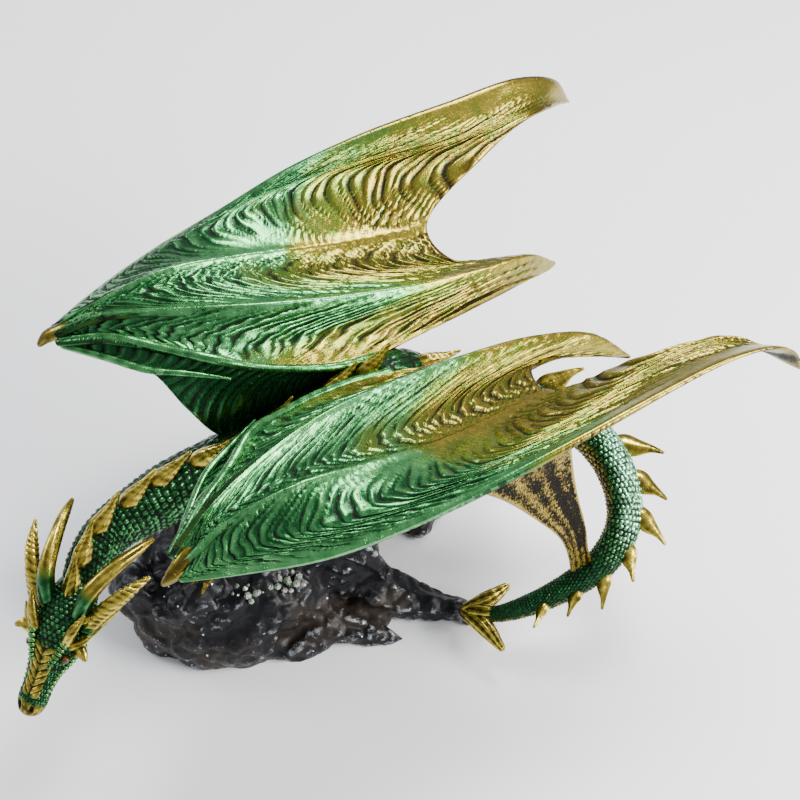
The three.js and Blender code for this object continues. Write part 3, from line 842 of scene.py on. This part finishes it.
LONG_HORN = [
    (8, 9, -4, 5, 5),
    (-8, 13, 3, 4.6, 4.6),
    (-24, 18, -2, 3.8, 3.8),
    (-36, 22.5, -11, 2.8, 2.8),
    (-43, 25, -18, 1.2, 1.2),
]
FRILL_HORN = [(14, 13, -8, 4.6, 4.4), (0, 20, -2, 4.4, 3.6), (-14, 28, -2.5, 4, 3), (-27, 35, -8, 1, 1)]
SMALL_HORNS = [
    [(24, 11, -9, 4.5, 3.4), (22, 17, -5, 3.6, 2.8), (25, 22, -4, 1, 1)],
    [(12, 12, -16, 3.8, 3), (4, 18, -15, 3, 2.4), (-6, 24, -15, 0.8, 0.8)],
    [(22, 9, -2, 3.2, 2.8), (12, 12.5, 3, 2.8, 2.4), (2, 16, 4.5, 0.7, 0.7)],
]
CHEEK_SPIKES = [(14, 16, -7), (8, 17, -10), (1, 15.5, -13), (19, 14.5, -4), (6, 14, -2)]
horns = [
    tube(LONG_HORN, 80, 32, horn_skin(0.3, 0.06, 7)),
    tube(FRILL_HORN, 90, 36, horn_skin(0.2, 0.5, 5)),
]
horns += [tube(stations, 40, 22, horn_skin(0.12, 0.2, 6)) for stations in SMALL_HORNS]
for x, y, z in CHEEK_SPIKES:
    spike = [(x + 4, y - 5, z, 2.6, 2.2), (x - 2, y + 2, z + 1, 2, 1.7), (x - 8, y + 6, z + 1, 0.5, 0.5)]
    horns.append(tube(spike, 30, 16, horn_skin(0.15, 0.15, 5)))
horn_set = cast("horns", [on_head(patch) for patch in [*horns, *map(across_head, horns)]])
horn_set.data.materials.append(gold_paint)
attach(horn_set, "root")

# ---- Wings ----
# A pair of raised wings cast with the body. Fingers fan out from the wrist, and the membrane between
# them is carved in curved growth ridges. Green at the wrist runs to old gold at the tips.

FINGERS = [
    [
        (86, -115, 167), (97, -88, 169), (109, -50, 171), (115, -6, 177), (117, 36, 187),
        (116, 80, 193), (113, 130, 196), (112, 178, 196), (112, 205, 184), (113, 219, 160),
    ],
    [
        (85, -115, 168), (93, -88, 173), (103, -48, 177), (108, -3, 181), (109, 42, 187),
        (106, 88, 188), (97, 135, 187), (93, 162, 188), (93, 182, 186),
    ],
    [
        (84, -115, 169), (90, -88, 176), (97, -48, 182), (100, 0, 184), (100, 44, 184),
        (93, 90, 181), (79, 138, 180),
    ],
    [
        (81, -114, 171), (77, -90, 183), (76, -50, 189), (75, -10, 180), (73, 26, 170),
        (69, 60, 164), (64, 96, 161),
    ],
    [
        (79, -113, 172), (73, -90, 184), (66, -50, 186), (60, -10, 177), (55, 30, 167),
        (49, 66, 160), (42, 100, 154),
    ],
    [
        (77, -113, 173), (67, -90, 185), (50, -50, 185), (38, -12, 180), (31, 30, 171),
        (27, 70, 163), (27, 110, 155), (32, 143, 144), (39, 167, 119),
    ],
    [
        (76, -113, 172), (60, -88, 181), (38, -48, 177), (27, -12, 170), (21, 26, 160),
        (17, 64, 149), (21, 112, 135),
    ],
    [
        (75, -113, 171), (58, -90, 178), (41, -68, 174.5), (26, -50, 171.5), (17.5, -30, 164.5),
        (10.5, -8, 158), (6.5, 14, 152), (6, 36, 147),
    ],
]
WING_ROWS = 280
WING_COLUMNS = 124
BONE_LINES = np.array([0, 3 / 7, 5 / 7, 1])
BONE_HEIGHTS = np.array([0, 0, 0, 1.6, 0, 1.8, 0, 1.2])
WING_THICKNESS = 4.2
WING_SAG = 0.78
RIDGE_MIDDLES = np.array([0.62, 0.42, 0.5])
RIDGE_BOWS = np.array([0.20, 0.16, 0.13])
RIDGE_COUNTS = np.array([46, 40, 34])


def smoothstep(value, low, high):
    share = np.clip((value - low) / (high - low), 0, 1)
    return share * share * (3 - 2 * share)


def growth_ridges(u, v):
    """Curved ridges in each panel, bowed towards the wrist: their surface, 0 to 1, and their depth."""
    panel = np.clip(np.searchsorted(BONE_LINES, v, side="right") - 1, 0, 2)
    low, high = BONE_LINES[panel], BONE_LINES[panel + 1]
    q = (v - low) / (high - low)
    apex = RIDGE_MIDDLES[panel] + 0.04 * np.sin(9 * u + 2 * panel)
    away = np.abs(q - apex) / np.where(q < apex, apex, 1 - apex)
    wave = u - RIDGE_BOWS[panel] * (0.8 * away**2 + 0.2 * away**6) * (0.3 + u)
    wave = wave + 0.005 * np.sin(17 * q + 29 * u) + 0.003 * np.sin(41 * q - 61 * u + panel)
    phase = RIDGE_COUNTS[panel] * np.maximum(wave + 0.05, 0.001) ** 0.85
    phase = phase + 0.35 * np.sin(23 * wave + 3 * panel)
    ridge = np.floor(phase)
    saw = phase - ridge
    crest = np.where(saw < 0.2, saw / 0.2, 1 - (np.maximum(saw - 0.2, 0) / 0.8) ** 1.15)
    chance = np.sin(ridge * 12.9898 + panel * 78.233) * 43758.5453
    chance = chance - np.floor(chance)
    end = 0.50 + 0.45 * chance
    broken = 1 - 0.85 * smoothstep(away, end - 0.2, end + 0.12)
    patchy = 0.7 + 0.3 * np.sin(ridge * 2.4 + 9 * q)
    return crest, broken * patchy * smoothstep(v, 0.03, 0.11)


def wing_patch():
    """The membrane's upper and lower faces, which meet round the whole edge."""
    u = np.linspace(0, 1, WING_ROWS)
    v = np.linspace(0, 1, WING_COLUMNS)
    fingers = np.stack([through(line, u) for line in FINGERS], axis=1)
    points = np.stack([through(row, v) for row in fingers])
    grid_u, grid_v = np.meshgrid(u, v, indexing="ij")
    place = grid_v * (len(FINGERS) - 1)
    left = np.minimum(place.astype(int), len(FINGERS) - 2)
    nearness = np.abs(2 * (place - left) - 1)
    bone = np.where(place - left < 0.5, BONE_HEIGHTS[left], BONE_HEIGHTS[left + 1])
    points[..., 2] -= WING_SAG * (1 - nearness**2) * np.sin(math.pi * grid_u)
    spine = np.clip(2 * nearness - 1, 0, 1)
    points[..., 2] += bone * spine**2 * (1 - grid_u * 0.5) * 1.15
    out = unit(np.cross(np.gradient(points, axis=0), np.gradient(points, axis=1)))
    thick = WING_THICKNESS * (0.55 + 0.45 * np.sin(math.pi * np.minimum(1, grid_u + 0.25)))
    thick = thick * (1 + 0.35 * np.cos(math.pi * grid_v) ** 2)
    border = np.minimum(np.minimum(grid_v, 1 - grid_v) / 0.032, np.minimum(grid_u, 1 - grid_u) / 0.012)
    border = np.sqrt(1 - (1 - np.clip(border, 0, 1)) ** 2)
    crest, depth = growth_ridges(grid_u, grid_v)
    cut = (crest - 1) * depth * (0.9 + 1.1 * grid_u)
    middle = points - out * (thick / 2)[..., None]
    upper = middle + out * (border * thick / 2 + cut * border)[..., None]
    lower_crest = 0.5 + 0.5 * np.cos(50 * grid_u + 4 * grid_v)
    lower = middle - out * (border * thick / 2 - (1 - lower_crest) * 0.3 * border)[..., None]
    tips = smoothstep(grid_u + 0.05 * np.sin(14 * grid_v) + 0.03 * np.sin(40 * grid_u), 0.42, 0.80)
    rim = 1 - smoothstep(np.minimum(1 - grid_u, grid_v * (1.5 - grid_u)), 0.0, 0.03)
    bones = np.exp(-(((grid_v - 3 / 7) / 0.02) ** 2)) + np.exp(-(((grid_v - 5 / 7) / 0.02) ** 2))
    gold = np.clip(0.66 * tips + rim * smoothstep(grid_u, 0.45, 0.6) + 0.25 * bones * tips, 0, 1)
    carved = np.clip(1.02 - (1 - crest) * depth * 1.15, 0, 1)
    # Painted highlight: shine lightens the green along the two finger bones and in broad bands across the
    # membrane.
    shine = 0.25 * np.sin(9 * grid_u + 5 * grid_v) + 0.4 * bones + 0.1
    top = {"points": upper, "relief": carved, "gold": gold, "shade": shine}
    plain = 0.25 + 0.5 * lower_crest
    # Painted shade: the lower face gets shine less 0.6, so it is painted darker than the upper face.
    under = {"points": lower, "relief": plain, "gold": 0.2 + 0.6 * gold, "shade": shine - 0.6}
    return [top, under]


wing = wing_patch()
wing_paint = dragon_paint("green_gold_wing_paint")
for name, patches in (("left_wing", wing), ("right_wing", [mirrored(patch) for patch in wing])):
    membrane = cast(name, patches, weld=8e-6)
    membrane.data.materials.append(wing_paint)
    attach(membrane, "root")

# ---- Wing arms, wrist claws and inner finger bones ----
# The arm rises from the shoulder to the wrist, which ends in a gold claw. Of the two inner fingers, one
# edges the membrane and the other is free and ends in a point. All are cast with the wing.

WRIST_CLAW = [
    (70, -94, 175, 2.4, 2.4),
    (77, -107, 172.4, 4.6, 4),
    (81, -116, 168, 3.8, 3.4),
    (81, -122, 163.5, 1.3, 1.3),
]
WING_ARM = [
    (14, -38, 126, 11, 11),
    (32, -28, 142, 9.5, 9.5),
    (52, -34, 160, 8, 8),
    (66, -66, 170, 6.5, 6.5),
    (78, -106, 169, 5, 4.5),
]
INNER_BONES = [
    [
        (74, -112, 170.5, 2.6, 2.6), (58, -90, 177.5, 2.4, 2.4), (41, -68, 174.2, 2.6, 2.6),
        (26, -50, 171.8, 3, 3), (16.8, -30, 163.6, 2.4, 2.4), (9.6, -8, 157, 2.4, 2.4),
        (6, 14, 150.6, 2.6, 2.6), (6.2, 38, 145.4, 3, 3),
    ],
    [
        (73, -112, 168, 2.4, 2.4), (54, -96, 169.4, 2.2, 2.2), (36, -79, 168.4, 2.1, 2.1),
        (27, -64, 167, 2, 2), (14.5, -43.5, 164, 0.7, 0.7),
    ],
]


def bone_skin(run, around, girth):
    relief = 0.75 + 0.15 * np.sin(2 * math.pi * around * 5 + 0.1 * run) + 0.1 * np.sin(0.7 * run)
    gold = 0.15 * smoothstep(run / run.max(), 0.8, 1.0)
    # Painted highlight: shade 0.45 makes the inner finger bones lighter green.
    return (relief - 1) * 0.5, relief, gold + 0 * relief, 0.45 + 0 * relief


claw = tube(WRIST_CLAW, 36, 32, horn_skin(0.1, 0.05, 4))
arm = tube(WING_ARM, 80, 40, scale_skin(20, 0.6, lambda run, around: (0 * run, 0 * run - 0.3)))
bones = [tube(stations, 150, 16, bone_skin) for stations in INNER_BONES]
limbs = [claw, arm, *bones]
arms = cast("wing_arms_and_claws", [*limbs, *map(mirrored, limbs)])
arms.data.materials.append(wing_paint)
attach(arms, "root")

# ---- Inner panels ----
# The membrane that comes down from the inner fingers to the crest of the back, with a free front edge
# in a deep curve. It is cast with the wing, with grooves running down it, in a darker green that is painted
# shade.

PANEL_TOP = [
    (75, -111, 169.4), (58, -89.5, 176.2), (41, -67.5, 173), (26, -49, 170),
    (17, -30, 162.6), (10, -8, 155.6), (6.6, 14, 149.4), (6.8, 34, 144),
]
PANEL_MIDDLE = [
    (73.4, -112, 168.6), (54.4, -95.5, 169.2), (37, -78.5, 168), (25, -62, 164),
    (15, -41, 158), (11, -18, 151), (9, 8, 146), (8.4, 30, 142),
]
PANEL_FOOT = [
    (73, -112.4, 168), (54, -96, 168.8), (36, -79, 167.6), (19, -67, 146),
    (11, -52, 124), (10, -24, 128), (9.5, 4, 135), (9, 28, 138),
]
WEB_THICKNESS = 3.2


def web_patches(points, relief, gold, shade, depth):
    """Both faces of a thin web, which meet round its edge."""
    rows, columns = points.shape[:2]
    i, j = np.meshgrid(np.linspace(0, 1, rows), np.linspace(0, 1, columns), indexing="ij")
    out = unit(np.cross(np.gradient(points, axis=0), np.gradient(points, axis=1)))
    border = np.minimum(np.minimum(j, 1 - j) / 0.06, np.minimum(i, 1 - i) / 0.03)
    border = np.sqrt(1 - (1 - np.clip(border, 0, 1)) ** 2)
    middle = points - out * WEB_THICKNESS / 2
    lift = border * (WEB_THICKNESS / 2 + (relief - 1) * depth)
    faces = []
    for way in (1, -1):
        face = middle + out * (way * lift)[..., None]
        faces.append({"points": face, "relief": relief, "gold": gold, "shade": shade})
    return faces


def inner_panel():
    u = np.linspace(0, 1, 150)
    v = np.linspace(0, 1, 50)[None, :, None]
    top, middle, foot = (through(line, u)[:, None] for line in (PANEL_TOP, PANEL_MIDDLE, PANEL_FOOT))
    points = top * (1 - v) ** 2 + 2 * middle * v * (1 - v) + foot * v**2
    grid_u, grid_v = np.meshgrid(u, v[0, :, 0], indexing="ij")
    phase = 26 * grid_u + 1.4 * grid_v + 0.4 * np.sin(5 * grid_v + 9 * grid_u)
    saw = phase - np.floor(phase)
    relief = np.clip(np.where(saw < 0.3, saw / 0.3, (1 - saw) / 0.7), 0, 1) ** 0.7
    front = 1 - smoothstep(1 - grid_v, 0, 0.08)
    relief = np.clip(relief + front, 0.0, 1)
    # Painted shade: the shade attribute is -0.45, so the panel is painted darker, easing off towards its
    # free front edge.
    return web_patches(points, relief, 0.1 * grid_u, -0.45 + 0.35 * front + 0 * relief, 0.8)


panel = inner_panel()
panels = cast("inner_panels", [*panel, *map(mirrored, panel)], weld=8e-6)
panels.data.materials.append(wing_paint)
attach(panels, "root")

# ---- Third lobes ----
# A web that drops from under each wing's leading edge, on the left to a foot on the tail. It is cast
# with the wing, and its scratched face is black, dry-brushed with gold.

LOBE_FRONT = [
    (115, 24, 182), (114, 42, 160), (114, 60, 133), (114, 78, 102),
    (113, 86, 77), (112, 90, 58),
]
LOBE_REAR = [
    (115, 76, 190), (113, 80, 168), (113, 86, 136), (113, 94, 102),
    (113, 98, 78), (112, 103, 60),
]


def third_lobe():
    u = np.linspace(0, 1, 110)
    v = np.linspace(0, 1, 44)[None, :, None]
    points = through(LOBE_FRONT, u)[:, None] * (1 - v) + through(LOBE_REAR, u)[:, None] * v
    grid_u, grid_v = np.meshgrid(u, v[0, :, 0], indexing="ij")
    rim = 0.5 * np.exp(-((grid_v / 0.05) ** 2)) + 0.5 * np.exp(-(((1 - grid_v) / 0.06) ** 2))
    hollow = np.exp(-(((grid_v - 0.72) / 0.2) ** 2 + ((grid_u - 0.55) / 0.3) ** 2))
    folds = 0.12 * np.sin(24 * grid_v + 5 * grid_u)
    relief = np.clip(0.42 + folds - 0.3 * hollow + rim, 0, 1)
    return web_patches(points, relief, 0.9 + 0 * relief, 0 * relief, 0.7)


def lobe_paint():
    paint = Paint("dry_brushed_gold_paint")
    relief = paint.told("relief")
    streaks = paint.noise(1500, 4, (0.5, 1.0, 0.25))
    crossing = paint.noise(1100, 3, (0.6, 0.35, 1.0))
    broad = paint.noise(90)
    brushed = paint.grow(relief + streaks * 1.1 + crossing * 0.8 + broad * 0.5, 1.56, 1.86)
    gold = paint.mix(broad, (0.20, 0.125, 0.006), (0.46, 0.33, 0.028))
    colour = paint.mix(brushed, (0.005, 0.004, 0.002), gold)
    return paint.finish(
        {
            "Base Color": colour,
            "Metallic": brushed * 0.95,
            "Roughness": 0.42 - brushed * 0.18,
            "Specular IOR Level": 0.02,
        },
        bump=streaks + crossing * 0.6,
        strength=0.6,
        distance=0.0008,
    )


lobe = third_lobe()
lobes = cast("third_lobes", [*lobe, *map(mirrored, lobe)], weld=8e-6)
lobes.data.materials.append(lobe_paint())
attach(lobes, "root")

# ---- Floor, light and camera ----
# A plain pale floor with three soft lamps over it, and a pale room round them.
# The camera stands high at the dragon's left, a little in front of it.

FLOOR_DROP = 0.0002
CAMERA_PLACE = Vector((0.48924, -0.21513, 0.81921))
CAMERA_AIM = Vector((0, 0.045, 0.110))


def build_floor():
    bm = bmesh.new()
    bmesh.ops.create_grid(bm, x_segments=2, y_segments=2, size=3.0)
    mesh = bpy.data.meshes.new("floor")
    bm.to_mesh(mesh)
    bm.free()
    floor = bpy.data.objects.new("floor", mesh)
    floor.location = (0, 0, -FLOOR_DROP)
    bpy.context.scene.collection.objects.link(floor)
    paint = Paint("pale_floor")
    colour = paint.mix(paint.noise(3), (0.86, 0.86, 0.88), (0.90, 0.90, 0.92))
    mesh.materials.append(paint.finish({"Base Color": colour, "Roughness": 0.6 + paint.noise(8) * 0.1}))
    return floor


def soft_light(name, place, aim, size, power, tint=(1, 1, 1)):
    light = bpy.data.lights.new(name, "AREA")
    light.shape = "RECTANGLE"
    light.size, light.size_y = size
    light.energy = power
    light.color = tint
    lamp = bpy.data.objects.new(name, light)
    lamp.location = place
    lamp.rotation_euler = (Vector(aim) - Vector(place)).to_track_quat("-Z", "Y").to_euler()
    bpy.context.scene.collection.objects.link(lamp)


build_floor()
soft_light("top_light", (-0.3, 0.5, 1.3), (0, 0.05, 0.1), (0.5, 0.5), 24)
soft_light("window_light", (-1.0, -0.8, 0.9), (0, 0, 0.1), (0.6, 0.4), 9, (0.96, 0.98, 1.0))
soft_light("side_light", (0.70, 0.75, 0.65), (0.28, 0.32, 0.0), (0.6, 0.6), 30, (1.0, 0.99, 0.97))

world = bpy.data.worlds.new("studio")
world.use_nodes = True
room = world.node_tree.nodes["Background"]
room.inputs["Color"].default_value = (0.80, 0.83, 0.88, 1)
room.inputs["Strength"].default_value = 0.8
bpy.context.scene.world = world

camera = bpy.data.cameras.new("camera")
camera.lens = 75
camera.sensor_width = 36
viewer = bpy.data.objects.new("camera", camera)
viewer.location = CAMERA_PLACE
viewer.rotation_euler = (CAMERA_AIM - CAMERA_PLACE).to_track_quat("-Z", "Y").to_euler()
bpy.context.scene.collection.objects.link(viewer)
bpy.context.scene.camera = viewer
